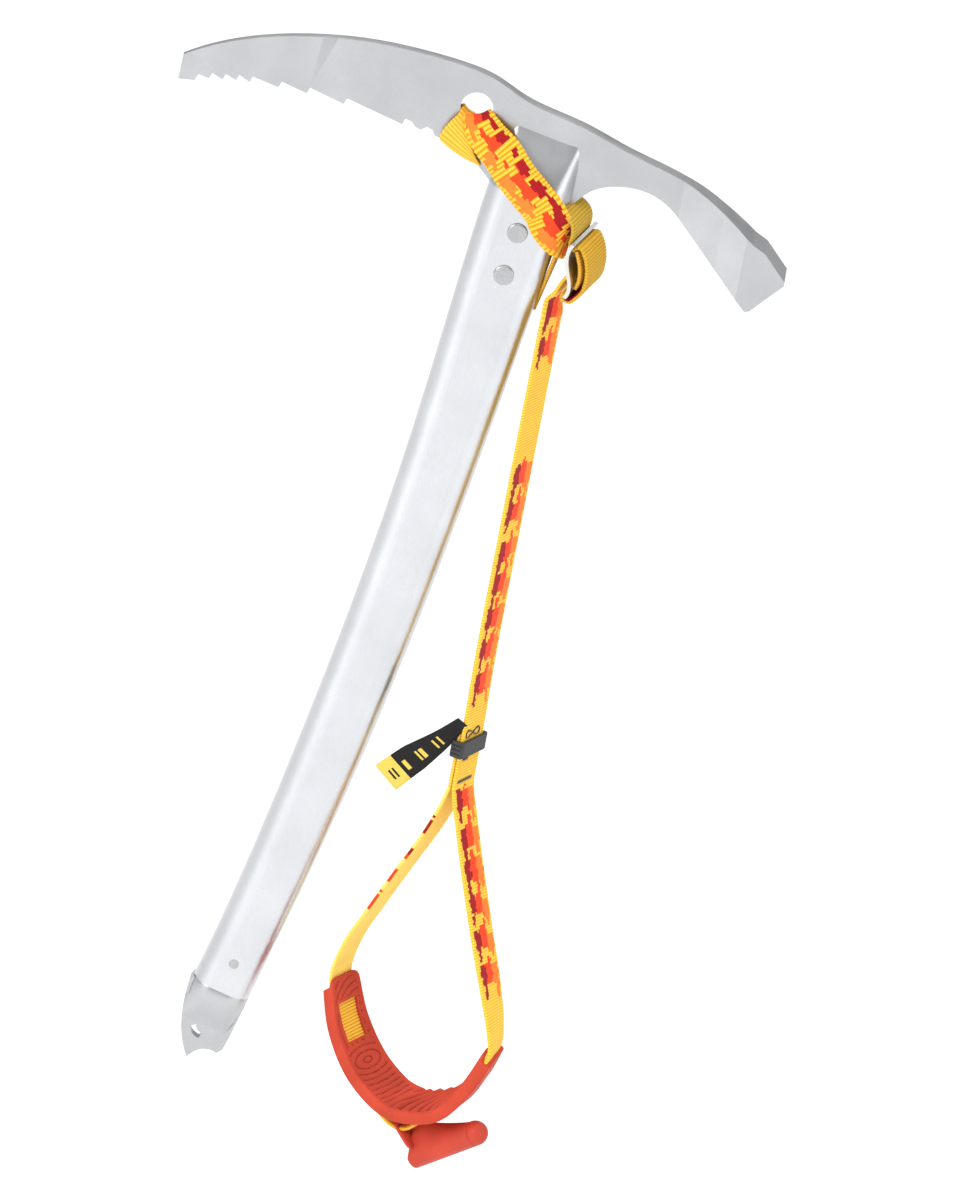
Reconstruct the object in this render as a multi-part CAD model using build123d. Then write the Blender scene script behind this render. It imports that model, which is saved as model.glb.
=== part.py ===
"""Ice axe with a curved shaft, hanging from its head eye, and its wrist leash.

Row frame: origin at the centre of the head eye, +Y along the eye, +X towards the hammer, +Z up.
The leash hangs in its own upright plane (t along its travel, z up), turned about Z by LEASH_TURN.
All sizes are millimetres.
"""
from build123d import *
import math
import os

os.makedirs("parts", exist_ok=True)

# ---------------------------------------------------------------- driving dimensions
EYE_R = 7.4            # carabiner eye in the head
SHAFT_DEPTH = 23.0     # shaft section across the swing plane, at the head
SHAFT_DEPTH_END = 21.0
SHAFT_CORNER = 9.4
SHAFT_WALL = 1.8
TANG_LENGTH = 48.0     # head tang inside the shaft
PLUG_LENGTH = 28.0     # spike plug inside the shaft
TANG = (24.0, 10.0, 3.0)       # width, depth and corner of the tang
FIT_GAP = 0.05
RIVET_R = 3.0
SPIKE_PIN_R = 2.2
HAMMER_HALF = 10.0     # half thickness of the hammer block
WEB = 20.0             # webbing width
WEB_T = 1.6            # webbing thickness
LEASH_TURN = 25.0      # turn of the leash's plane about Z
LEASH_X = 46.0
BUCKLE_WIDTH = 25.0
BUCKLE_T = 1.8
CRADLE_T = 5.6         # wall of the wrist cradle, with the webbing's channel in it
CRADLE_HALF_END = 13.0
CRADLE_HALF_MID = 17.0
RUN_GAP = 0.4          # clearance of the sliding keeper round the webbing
TOGGLE_R = 5.8
FRONT = -1             # -Y side

# ---------------------------------------------------------------- helpers


def unit(x, y, z):
    """The unit vector along (x, y, z)."""
    return Vector(x, y, z).normalized()


def side_plane(y=0.0):
    """Upright plane across Y, with local axes +X and +Z."""
    return Plane(origin=(0, y, 0), x_dir=(1, 0, 0), z_dir=(0, -1, 0))


def outline(*edges):
    """A face bounded by a closed run of edges."""
    return make_face(list(edges))


def polygon(points):
    """A face with straight sides."""
    return make_face(Polyline(*points, close=True))


def offset_points(points, distance):
    """The points moved sideways from the line that they make."""
    moved = []
    last = len(points) - 1
    for i, (a, b) in enumerate(points):
        a0, b0 = points[max(i - 1, 0)]
        a1, b1 = points[min(i + 1, last)]
        length = math.hypot(a1 - a0, b1 - b0)
        moved.append((a - (b1 - b0) / length * distance, b + (a1 - a0) / length * distance))
    return moved


def strip_face(points, thickness):
    """A thin face that follows a smooth line through the points."""
    left = offset_points(points, thickness / 2)
    right = offset_points(points, -thickness / 2)
    sides = [Line(*left), Line(*right)] if len(points) == 2 else [Spline(*left), Spline(*right)]
    return make_face([sides[0], Line(left[-1], right[-1]), sides[1], Line(right[0], left[0])])


def strip(plane, points, thickness, width):
    """A band of webbing or plate: a strip in the plane, as wide as stated across it."""
    return extrude(plane * strip_face(points, thickness), amount=width / 2, both=True)


def prism(plane, face, half):
    """A face on a plane, thickened both ways."""
    return extrude(plane * face, amount=half, both=True)


def write(name, shape):
    """Writes one sub-part."""
    export_step(shape, f"parts/{name}.step")


LEASH_T = unit(math.cos(math.radians(LEASH_TURN)), -math.sin(math.radians(LEASH_TURN)), 0)
LEASH_W = unit(math.sin(math.radians(LEASH_TURN)), math.cos(math.radians(LEASH_TURN)), 0)
LEASH = Plane(origin=(LEASH_X, 0, 0), x_dir=LEASH_T, z_dir=LEASH_W * -1)
LEASH_TOP = Plane(origin=(LEASH_X, 0, 0), x_dir=LEASH_T, z_dir=(0, 0, 1))


def leash_box(t, z, size_t, size_w, size_z, w=0.0):
    """A box in the leash's axes, centred at (t, w, z)."""
    at = Vector(LEASH_X, 0, 0) + LEASH_T * t + LEASH_W * w + Vector(0, 0, z)
    return Plane(origin=at, x_dir=LEASH_T, z_dir=(0, 0, 1)) * Box(size_t, size_w, size_z)


# ---------------------------------------------------------------- shaft

# Centre line and width, from the head down: x, z, width, lean from upright in degrees.
SHAFT = (
    (30.4, -35.0, 37.8, 7.0),
    (22.1, -100.0, 35.7, 7.4),
    (8.8, -200.0, 32.0, 8.6),
    (-7.5, -295.0, 30.3, 10.8),
    (-27.9, -390.0, 27.6, 13.2),
    (-39.8, -437.3, 27.1, 14.2),
)


def shaft_plane(x, z, lean):
    """The plane of a shaft section: its normal runs up the shaft."""
    s, c = math.sin(math.radians(lean)), math.cos(math.radians(lean))
    return Plane(origin=(x, 0, z), x_dir=(c, 0, -s), z_dir=(s, 0, c))


def shaft_section(x, z, width, lean, shrink=0.0):
    """A rounded section, a little flatter towards the spike."""
    share = (z - SHAFT[0][1]) / (SHAFT[-1][1] - SHAFT[0][1])
    depth = SHAFT_DEPTH + share * (SHAFT_DEPTH_END - SHAFT_DEPTH)
    shape = RectangleRounded(width - 2 * shrink, depth - 2 * shrink, SHAFT_CORNER - shrink)
    return shaft_plane(x, z, lean) * shape


def shaft_loft(shrink=0.0):
    """The shaft's outside, or its bore when shrunk by the wall."""
    return loft([shaft_section(*row, shrink) for row in SHAFT])


HEAD_END = shaft_plane(SHAFT[0][0], SHAFT[0][1], SHAFT[0][3])
SPIKE_END = shaft_plane(SHAFT[-1][0], SHAFT[-1][1], SHAFT[-1][3])
RIVET_DEPTHS = (17.0, 38.0)    # below the shaft's top, along it
SPIKE_PIN_RISE = 15.0          # above the shaft's lower end, along it


def cross_pin(plane, rise, radius, half):
    """A pin along Y, at a height above a shaft section."""
    at = plane.origin + plane.z_dir * rise
    return Plane(origin=at, x_dir=(1, 0, 0), z_dir=(0, -1, 0)) * Cylinder(radius, 2 * half)


def domed_rivet(plane, rise, radius, half):
    """A rivet along Y with a low dome at each end."""
    shank = cross_pin(plane, rise, radius, half)
    heads = cross_pin(plane, rise, radius * 1.55, half + 0.9) - cross_pin(plane, rise, radius * 1.6, half)
    edges = heads.edges().filter_by(GeomType.CIRCLE)
    rims = [e for e in edges if abs(e.center().Y) > half + 0.5]
    return shank + fillet(rims, 0.7)


HEAD_RIVET_HALF = SHAFT_DEPTH / 2
SPIKE_PIN_HALF = SHAFT_DEPTH_END / 2 + 0.1


def make_shaft():
    tube = shaft_loft() - shaft_loft(SHAFT_WALL)
    for depth in RIVET_DEPTHS:
        tube -= cross_pin(HEAD_END, -depth, RIVET_R + FIT_GAP, SHAFT_DEPTH)
    return tube - cross_pin(SPIKE_END, SPIKE_PIN_RISE, SPIKE_PIN_R + FIT_GAP, SHAFT_DEPTH)


# ---------------------------------------------------------------- head

PICK_TIP_LOW = (-134.3, -13.3)
PICK_TIP_HIGH = (-133.9, -1.6)
TOOTH_TIPS = (
    (-120.7, -10.5),
    (-114.6, -9.8),
    (-108.6, -8.9),
    (-102.4, -8.6),
    (-89.3, -8.3),
    (-76.3, -8.6),
    (-59.1, -10.2),
    (-31.7, -14.3),
)
TOOTH_RISE = (1.0, 2.9)        # from a tooth's point to the notch behind it
HEAD_TOP = (
    PICK_TIP_HIGH,
    (-113.5, 8.9),
    (-81.5, 17.8),
    (-52.5, 21.0),
    (-26.4, 20.3),
    (-7.2, 18.1),
    (6.0, 14.9),
    (19.3, 8.6),
    (30.3, 4.9),
    (49.6, 0.1),
    (70.7, -7.3),
    (88.6, -12.5),
    (104.8, -18.5),
    (114.4, -23.8),
    (128.0, -33.2),
)
HAMMER_CORNER = ((133.3, -37.2), (139.4, -40.3), (151.4, -53.0))
HAMMER_LOW = (136.0, -70.2)
HAMMER_NECK_LOW = (99.0, -34.0)
HAMMER_ARCH = (77.4, -23.3)
SCALLOPS = (
    (-27.6, -12.2),
    (-25.3, -14.6),
    (-23.0, -15.2),
    (-20.5, -13.3),
    (-17.8, -14.2),
    (-16.4, -16.6),
    (-14.2, -17.2),
)
# Half thickness along X, from the pick's point to the hammer's face.
HEAD_PLAN = (
    (-136.0, 1.5),
    (-122.0, 1.9),
    (-60.0, 2.5),
    (-20.0, 3.1),
    (0.0, 3.4),
    (40.0, 4.2),
    (98.0, 4.6),
    (118.0, 7.5),
    (130.0, HAMMER_HALF),
    (153.0, HAMMER_HALF),
)


def head_outline():
    """The head's side outline, clockwise from the pick's point."""
    arm_left = HEAD_END.origin - HEAD_END.x_dir * (SHAFT[0][2] / 2)
    arm_right = HEAD_END.origin + HEAD_END.x_dir * (SHAFT[0][2] / 2)
    left, right = (arm_left.X, arm_left.Z), (arm_right.X, arm_right.Z)
    teeth = []
    for x, z in TOOTH_TIPS:
        teeth += [(x, z), (x + TOOTH_RISE[0], z + TOOTH_RISE[1])]
    pick_low = [(-126.9, -12.6), (-125.6, -9.4)] + teeth + list(SCALLOPS)
    return outline(
        Line(PICK_TIP_LOW, PICK_TIP_HIGH),
        Spline(*HEAD_TOP),
        Polyline(HEAD_TOP[-1], *HAMMER_CORNER, HAMMER_LOW),
        Line(HAMMER_LOW, HAMMER_NECK_LOW),
        Spline(HAMMER_NECK_LOW, HAMMER_ARCH, (60.0, -26.6), right,
               tangents=[(-0.70, 0.72), (-0.62, -0.78)]),
        Line(right, left),
        Line(left, (1.9, -23.4)),
        Line((1.9, -23.4), SCALLOPS[-1]),
        Polyline(PICK_TIP_LOW, *pick_low),
    )


def collar(plane, section, slim, rise):
    """The swelling where a flat forging meets the oval shaft, easing down to the blade's thickness."""
    x, z, width, lean = section
    sections = [shaft_section(x, z, width, lean)]
    depth = SHAFT_DEPTH
    for share, narrow, ease in ((0.35, 0.985, 0.16), (0.7, 0.95, 0.62), (1.0, 0.90, 1.0)):
        at = plane.origin + plane.z_dir * (rise * share)
        deep = depth + (slim - depth) * ease
        face = RectangleRounded(width * narrow, deep, min(SHAFT_CORNER, deep * 0.46))
        sections.append(Plane(origin=at, x_dir=plane.x_dir, z_dir=plane.z_dir) * face)
    return loft(sections)


def make_head():
    side = prism(side_plane(), head_outline(), SHAFT_DEPTH)
    plan_points = [(x, h) for x, h in HEAD_PLAN] + [(x, -h) for x, h in reversed(HEAD_PLAN)]
    plan = extrude(polygon(plan_points), amount=120, both=True)
    blade = side & plan
    neck = collar(HEAD_END, SHAFT[0], 7.2, 30.0) & side
    face_edge = unit(HAMMER_LOW[0] - HAMMER_CORNER[2][0], 0, HAMMER_LOW[1] - HAMMER_CORNER[2][1])
    solid = blade + neck
    face = [f for f in solid.faces() if abs(f.normal_at().dot(face_edge)) < 0.01 and f.center().X > 140]
    solid = chamfer(face[0].edges(), 1.6)
    solid -= cross_pin(Plane.XY, 0, EYE_R, SHAFT_DEPTH)
    rims = solid.edges().filter_by(lambda e: abs(e.center().X) < 0.6 and abs(e.center().Z) < 0.6
                                   and abs(e.length - 2 * math.pi * EYE_R) < 1.5)
    if rims:
        solid = chamfer(rims, 0.6)
    tang_plane = Plane(origin=HEAD_END.origin - HEAD_END.z_dir * TANG_LENGTH,
                       x_dir=HEAD_END.x_dir, z_dir=HEAD_END.z_dir)
    tang = extrude(tang_plane * RectangleRounded(*TANG), amount=TANG_LENGTH)
    tang &= shaft_loft(SHAFT_WALL + FIT_GAP)
    solid += tang
    for depth in RIVET_DEPTHS:
        solid -= cross_pin(HEAD_END, -depth, RIVET_R + FIT_GAP, SHAFT_DEPTH)
    return solid


# ---------------------------------------------------------------- spike

SPIKE_LEFT = ((-54.5, -436.6), (-55.3, -443.3), (-55.1, -456.0), (-53.0, -466.3), (-49.6, -474.2))
SPIKE_RIGHT = ((-36.6, -470.0), (-34.2, -467.9), (-32.1, -461.5))
SPIKE_HOLE = ((-49.3, -458.6), (-48.0, -461.4), (-45.2, -463.0))


def make_spike():
    half = SHAFT[-1][2] / 2
    left, right = SPIKE_END.origin - SPIKE_END.x_dir * half, SPIKE_END.origin + SPIKE_END.x_dir * half
    left, right = (left.X, left.Z), (right.X, right.Z)
    profile = outline(
        Polyline(left, *SPIKE_LEFT[:2]),
        Spline(*SPIKE_LEFT[1:]),
        Spline(SPIKE_LEFT[-1], (-48.0, -472.4), (-44.7, -469.8), (-40.5, -468.9), SPIKE_RIGHT[0]),
        Polyline(*SPIKE_RIGHT, right, left),
    )
    side = prism(side_plane(), profile, SHAFT_DEPTH)
    blade = side & Box(200, 5.2, 1100)
    boss = collar(SPIKE_END, SHAFT[-1], 5.0, -21.0) & side
    lip = prism(side_plane(), polygon([left, SPIKE_LEFT[0], SPIKE_LEFT[1], (-50.0, -441.0)]), 4.5)
    solid = blade + boss + lip
    solid -= prism(side_plane(), strip_face(SPIKE_HOLE, 2.8), SHAFT_DEPTH)
    plug = extrude(SPIKE_END * RectangleRounded(half * 2 - 5.0, SHAFT_DEPTH_END - 5.0, 6.0), amount=PLUG_LENGTH)
    solid += plug & shaft_loft(SHAFT_WALL + FIT_GAP)
    return solid - cross_pin(SPIKE_END, SPIKE_PIN_RISE, SPIKE_PIN_R + FIT_GAP, SHAFT_DEPTH)


# ---------------------------------------------------------------- anchor sling round the eye and shaft

HEAD_SKIN = 3.9        # the head's half thickness beside the eye, with a little room
SLING_FACE = 13.3      # the bands' mid plane where they cross the shaft, from the swing plane
BAND_RUN = unit(0.731, 0, -0.682)
BAND_ACROSS = unit(0.682, 0, 0.731)
BAND_START = (7.0, 0.0, -9.6)


def band_plane():
    """The plane of a crossing band's run and Y, so that the band is wide across the run."""
    return Plane(origin=BAND_START, x_dir=BAND_RUN, z_dir=BAND_ACROSS)


def eye_bundle(x_low, x_high, z_top):
    """The part of the bunched webbing that fills the eye, between two X values and under a height."""
    slug = cross_pin(Plane.XY, 0, EYE_R - 0.5, HEAD_SKIN + WEB_T)
    return slug & Pos((x_low + x_high) / 2, 0, z_top - 10) * Box(x_high - x_low, 40, 20)


def crossing_band(side):
    """A flat band from the eye down across the shaft's face, on the front (-1) or the back (1)."""
    near = HEAD_SKIN + WEB_T / 2 + 0.7
    line = [(1.5, side * near), (9.0, side * (near + 2.4)), (19.0, side * SLING_FACE),
            (32.0, side * (SLING_FACE + 0.1)), (48.5, side * SLING_FACE)]
    return strip(band_plane(), line, WEB_T, WEB - 1.0)


def bunch(points, side):
    """A gathered patch of webbing lying on the head beside the eye."""
    low, high = HEAD_SKIN + 0.1, HEAD_SKIN + 0.1 + 1.2 * WEB_T
    patch = extrude(side_plane(side * (low + high) / 2) * polygon(points), amount=(high - low) / 2, both=True)
    return patch


LOBE = ((-7.3, 1.6), (-9.2, -3.4), (-12.0, -8.3), (-14.0, -15.4), (-11.6, -20.2),
        (-4.0, -23.2), (3.2, -26.0), (2.2, -14.0), (-0.1, -1.6), (-4.0, -0.6))
THROAT = ((0.1, -1.6), (2.4, -14.0), (3.4, -22.0), (8.2, -16.0), (10.6, -8.4), (9.2, 1.4), (4.0, -0.8))


def make_lobe():
    """The left turn: up the front, through the eye, down the back and under the head's lower edge."""
    sole = polygon([(-14.6, -17.9), (-13.6, -21.2), (3.8, -27.6), (2.6, -24.5)])
    under = prism(side_plane(), sole, HEAD_SKIN + 0.2)
    return bunch(LOBE, FRONT) + bunch(LOBE, -FRONT) + eye_bundle(-EYE_R, -0.05, -0.8) + under


def make_front_band():
    """The front crossing band with its gathered start and its half of the webbing in the eye."""
    return crossing_band(FRONT) + bunch(THROAT, FRONT) + eye_bundle(0.05, EYE_R, -0.8) - make_lobe()


def make_back_band():
    return crossing_band(-FRONT) + bunch(THROAT, -FRONT) - eye_bundle(-EYE_R, EYE_R, 5) - make_lobe()


# ---------------------------------------------------------------- buckle and the folded webbing on it

BUCKLE_ACROSS = unit(0.35, 0.912, 0.215)
BUCKLE_P = (Vector(1, 0, 0) - BUCKLE_ACROSS * BUCKLE_ACROSS.X).normalized()
BUCKLE = Plane(origin=(55, 0, -62), x_dir=BUCKLE_P, z_dir=BUCKLE_ACROSS * -1)
BUCKLE_LINE = ((3.4, 13.9), (1.7, 6.7), (2.9, 0.4), (5.1, -6.8), (3.9, -14.3))
SIDE_BAND = ((-4.4, 26.5), (-0.6, 24.0), (1.4, 19.6), (1.6, 15.4))
BIGHT = ((4.9, 15.4), (6.9, 10.5), (10.2, 4.2), (11.2, -2.4), (10.4, -9.6), (6.1, -16.9))
BIGHT_FOLD = ((4.4, 8.6), (6.7, 3.0), (7.8, -2.4), (7.5, -7.4))
STRAP_LIFT = ((-2.7, -20.2), (-1.4, -15.0), (0.9, -7.6))


def make_buckle():
    """The bent three-bar slider: one plate with two slots for the webbing."""
    plate = strip(BUCKLE, BUCKLE_LINE, BUCKLE_T, BUCKLE_WIDTH)
    for low, high in ((7.6, 11.4), (-10.4, -6.6)):
        centre = BUCKLE * Pos(3.0, (low + high) / 2, 0)
        plate -= centre * Box(12, high - low, WEB + 0.6)
    return plate


def make_tail():
    """The sling's loose end, hanging edge on beside the shaft."""
    plane = Plane(origin=(45.3, 3.0, -76.5), x_dir=(0.143, 0, 0.990), z_dir=(0, 1, 0))
    return plane * Box(24.0, 1.3, WEB * 0.7)


# ---------------------------------------------------------------- leash

MAIN_STRAP = ((5.0, -85.5), (4.5, -120.0), (4.3, -200.0), (4.3, -262.0), (5.0, -290.0), (5.1, -319.0))
RETURN_LAYER = ((3.1, -292.0), (3.1, -319.0))
RIGHT_STRAND = ((5.4, -320.9), (6.3, -324.5), (9.6, -334.0), (14.6, -348.4), (27.6, -383.2), (38.6, -411.5),
                (43.2, -425.0), (45.2, -434.4))
LEFT_STRAND = ((2.8, -320.9), (1.6, -325.0), (-1.2, -334.0), (-5.5, -345.3), (-16.2, -368.5), (-26.6, -391.6),
               (-34.6, -410.6), (-37.2, -427.5))
KEEPER_Z = -300.0
KEEPER_SIZE = (6.8, 24.0, 8.0)
LAYERS_T = 4.1         # middle of the doubled webbing
STITCHES = ((-291.5, 9.0), (-306.5, 7.0), (-316.6, 13.0))
STITCH_PROUD = 0.2
CRADLE_LINE = ((-37.4, -428.4), (-28.0, -450.3), (-12.0, -468.6), (8.0, -477.2), (26.4, -471.6),
               (38.2, -453.2), (44.8, -436.6))
WINDOW = (-30.6, -444.5)
TOGGLE_LOOP = ((-7.0, -477.0), (0.8, -484.2), (8.0, -486.3), (15.0, -485.0), (22.0, -477.5))
PIVOT = (8.0, -486.3)
TAB_DIRECTION = (0.735, -0.678)
TOGGLE_LEFT = (15.8, -499.6)
TOGGLE_RIGHT = (48.8, -474.8)


def make_keeper():
    """A ribbed slider round the doubled webbing."""
    size_t, size_w, size_z = KEEPER_SIZE
    body = leash_box(LAYERS_T, KEEPER_Z, size_t, size_w, size_z)
    body = chamfer(body.edges().filter_by(lambda e: abs(e.tangent_at(0).Z) > 0.99), 1.1)
    body -= leash_box(LAYERS_T, KEEPER_Z, 2 * WEB_T + 0.4 + 2 * RUN_GAP, WEB + 2 * RUN_GAP, size_z * 2)
    for row in (-1, 0, 1):
        for end in (-1, 1):
            body -= leash_box(LAYERS_T, KEEPER_Z + row * 2.1, size_t, 0.8, 0.7, end * (size_w / 2))
    return body


def make_stitches():
    """The visible bars of thread on the decorated face."""
    proud = 5.26 + WEB_T / 2 + STITCH_PROUD / 2
    return Compound([leash_box(proud, z, STITCH_PROUD, long, 0.8) for z, long in STITCHES])


LABEL_ROOT = (43.0, -11.6)     # x, y of the fold's upright line
LABEL = ((43.0, -285.5), (30.0, -297.0), (16.0, -309.6), (11.3, -316.8), (22.7, -323.2), (31.0, -314.5),
         (39.9, -304.0), (39.9, -294.6), (43.0, -293.0))


def make_label():
    return prism(side_plane(LABEL_ROOT[1]), polygon(LABEL), 0.5)


def cradle_envelope():
    """The cradle's outside, wider in the middle than at its two ends."""
    wall = strip(LEASH, CRADLE_LINE, CRADLE_T, 2 * CRADLE_HALF_MID)
    plan = outline(
        Spline((-42, CRADLE_HALF_END), (4, CRADLE_HALF_MID), (48, CRADLE_HALF_END)),
        Line((48, CRADLE_HALF_END), (48, -CRADLE_HALF_END)),
        Spline((48, -CRADLE_HALF_END), (4, -CRADLE_HALF_MID), (-42, -CRADLE_HALF_END)),
        Line((-42, -CRADLE_HALF_END), (-42, CRADLE_HALF_END)),
    )
    return wall & extrude(LEASH_TOP * plan, amount=600, both=True)


def make_cradle():
    """The moulded wrist cradle: an inner and an outer wall with the webbing's channel between."""
    shell = cradle_envelope() - strip(LEASH, CRADLE_LINE, WEB_T + 0.3, WEB + 0.4)
    t, z = WINDOW
    window = LEASH * Pos(t + 2.8, z + 1.4, 0) * Rot(0, 0, 28) * Box(6.4, 14.0, 15.0)
    return shell - window


def make_toggle_loop():
    """The bight of webbing under the cradle, which the toggle hangs on."""
    return strip(LEASH, TOGGLE_LOOP, WEB_T, WEB - 3.0) - cradle_envelope()


def tab_point(along):
    """A point on the tab's line, measured from the pivot."""
    return (PIVOT[0] + TAB_DIRECTION[0] * along, PIVOT[1] + TAB_DIRECTION[1] * along)


def make_toggle():
    """A hollow finger grip with a fin that reaches up towards the cradle."""
    left, right = Vector(*TOGGLE_LEFT), Vector(*TOGGLE_RIGHT)
    along = (right - left).normalized()
    axis_plane = Plane(origin=LEASH.from_local_coords(left),
                       x_dir=LEASH_W,
                       z_dir=LEASH_T * along.X + Vector(0, 0, along.Y))
    length = (right - left).length
    seam = length - 7.0
    grip = extrude(axis_plane * Circle(TOGGLE_R), amount=seam)
    fin = prism(LEASH, polygon([(16.2, -493.6), (18.4, -488.6), (22.4, -482.6), (28.0, -478.8),
                                (36.6, -475.2), (36.0, -484.0), (22.0, -495.0)]), 2.6)
    fin &= extrude(axis_plane * Circle(30), amount=seam)
    body = grip + fin - extrude(axis_plane * Circle(3.2), amount=20)
    cap_plane = Plane(origin=axis_plane.origin + axis_plane.z_dir * seam,
                      x_dir=axis_plane.x_dir, z_dir=axis_plane.z_dir)
    cap = extrude(cap_plane * Circle(TOGGLE_R), amount=7.0)
    top = cap.faces().sort_by(Axis(origin=axis_plane.origin, direction=axis_plane.z_dir))[-1]
    return body, fillet(top.edges(), 5.0)


def make_tab(toggle):
    """The flat tab between the webbing bight and the grip, with a slot for the bight."""
    plate = strip(LEASH, [tab_point(-4.3), tab_point(10.0)], 1.8, WEB)
    at = LEASH * Pos(PIVOT[0], PIVOT[1], 0) * Rot(0, 0, math.degrees(math.atan2(TAB_DIRECTION[1], TAB_DIRECTION[0])))
    plate -= at * Box(5.4, 8.0, WEB - 2.8)
    return plate - toggle


# ---------------------------------------------------------------- write the sub-parts

toggle_body, toggle_cap = make_toggle()
write("head", make_head())
write("shaft", make_shaft())
write("spike", make_spike())
write("head_rivets", Compound([domed_rivet(HEAD_END, -d, RIVET_R, HEAD_RIVET_HALF) for d in RIVET_DEPTHS]))
write("spike_pin", cross_pin(SPIKE_END, SPIKE_PIN_RISE, SPIKE_PIN_R, SPIKE_PIN_HALF))
write("sling_lobe", make_lobe())
write("sling_front_band", make_front_band())
write("sling_back_band", make_back_band())
write("sling_side_band", strip(BUCKLE, SIDE_BAND, WEB_T, WEB))
write("sling_tail", make_tail())
write("buckle", make_buckle())
write("bight", strip(BUCKLE, BIGHT, WEB_T, WEB))
write("bight_fold", strip(BUCKLE, BIGHT_FOLD, WEB_T, WEB))
write("strap_lift", strip(BUCKLE, STRAP_LIFT, WEB_T, WEB) - make_buckle())
write("main_strap", strip(LEASH, MAIN_STRAP, WEB_T, WEB))
write("return_layer", strip(LEASH, RETURN_LAYER, WEB_T, WEB))
write("strap_stitches", make_stitches())
write("keeper", make_keeper())
write("label", make_label())
write("right_strand", strip(LEASH, RIGHT_STRAND, WEB_T, WEB) - cradle_envelope())
write("left_strand", strip(LEASH, LEFT_STRAND, WEB_T, WEB) - cradle_envelope())
write("cradle", make_cradle())
write("cradle_webbing", strip(LEASH, CRADLE_LINE, WEB_T, WEB))
write("toggle_loop", make_toggle_loop())
write("toggle", toggle_body)
write("toggle_cap", toggle_cap)
write("toggle_tab", make_tab(toggle_body))
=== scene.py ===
"""Looks of the ice axe and its wrist leash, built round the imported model.

Sizes are in millimetres in the row frame and become metres when a mesh is made.
The leash hangs in its own upright plane: t along its travel, w across the webbing, z up.
"""
import bpy
import math
import random
import numpy as np
from mathutils import Matrix, Vector


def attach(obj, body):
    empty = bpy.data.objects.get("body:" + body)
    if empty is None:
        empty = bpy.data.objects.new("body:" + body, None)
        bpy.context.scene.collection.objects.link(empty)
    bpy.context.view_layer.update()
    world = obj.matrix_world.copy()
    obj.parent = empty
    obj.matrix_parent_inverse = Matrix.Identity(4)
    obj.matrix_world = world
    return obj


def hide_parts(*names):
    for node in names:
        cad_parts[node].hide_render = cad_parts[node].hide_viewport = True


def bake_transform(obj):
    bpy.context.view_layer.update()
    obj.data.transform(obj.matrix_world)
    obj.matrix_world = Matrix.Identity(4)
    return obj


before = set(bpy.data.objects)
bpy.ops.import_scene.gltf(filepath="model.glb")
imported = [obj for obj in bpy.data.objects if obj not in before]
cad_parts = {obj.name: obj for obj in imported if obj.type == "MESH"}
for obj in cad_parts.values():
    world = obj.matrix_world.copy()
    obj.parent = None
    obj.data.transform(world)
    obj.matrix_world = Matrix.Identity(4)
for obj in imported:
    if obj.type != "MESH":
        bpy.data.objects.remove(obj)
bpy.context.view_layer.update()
MM = 0.001

# ---- driving dimensions (as in part.py)
WEB = 20.0              # webbing width
WEB_T = 1.6             # webbing thickness
RIB = 1.35              # pitch of the cross ribs on the leash
WIDE_RIB = 2.0          # on the sling's front band and lobe
BUCKLE_RIB = 1.5        # and round the buckle and inside the cradle
LEASH_TURN = math.radians(25)
LEASH_X = 46.0
LEASH_T = Vector((math.cos(LEASH_TURN), -math.sin(LEASH_TURN), 0))
LEASH_W = Vector((math.sin(LEASH_TURN), math.cos(LEASH_TURN), 0))
HEAD_SIDE = 3.6         # half thickness of the head beside the eye
BAND_START = Vector((7.0, 0, -9.6))
BAND_RUN = Vector((0.731, 0, -0.682))
BAND_ACROSS = Vector((0.682, 0, 0.731))
BAND_Y = 13.3           # middle of a band's thickness where it crosses the shaft
BUCKLE_AT = Vector((55, 0, -62))
BUCKLE_B = Vector((0.35, 0.912, 0.215)).normalized()
BUCKLE_P = (Vector((1, 0, 0)) - BUCKLE_B * BUCKLE_B.x).normalized()
BUCKLE_Q = (-BUCKLE_B).cross(BUCKLE_P)

# yarn colours, linear; the sling's side band, tail, bight and fold and the toggle's loop take darker copies of the
# yellow as painted shade where they turn away from the light, and the leash's left strand a lighter copy as painted
# light
YELLOW = (0.955, 0.655, 0.070)
YELLOW_PLAIN = (0.960, 0.655, 0.095)
BAND_YELLOW = (0.950, 0.570, 0.050)
LOBE_YELLOW = (0.930, 0.580, 0.070)
SIDE_SHADED_YELLOW = (0.56, 0.40, 0.050)
TAIL_SHADED_YELLOW = (0.66, 0.40, 0.05)
BIGHT_SHADED_YELLOW = (0.64, 0.415, 0.035)
FOLD_SHADED_YELLOW = (0.74, 0.46, 0.06)
LEFT_LIT_YELLOW = (0.985, 0.76, 0.15)
LOOP_SHADED_YELLOW = (0.88, 0.54, 0.05)
ORANGE = (0.930, 0.215, 0.030)
RED = (0.900, 0.060, 0.014)
DARK_RED = (0.340, 0.007, 0.011)
LABEL_BLACK = (0.016, 0.015, 0.015)
LABEL_YELLOW = (0.72, 0.55, 0.10)


def leash(t, z, w=0.0):
    """A point of the leash's plane, moved across the webbing by w."""
    return Vector((LEASH_X, 0, z)) + LEASH_T * t + LEASH_W * w


def show(obj):
    bpy.context.scene.collection.objects.link(obj)


def buckle(p, q, b=0.0):
    """A point in the buckle's own axes."""
    return BUCKLE_AT + BUCKLE_P * p + BUCKLE_Q * q + BUCKLE_B * b


# ---- materials


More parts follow.
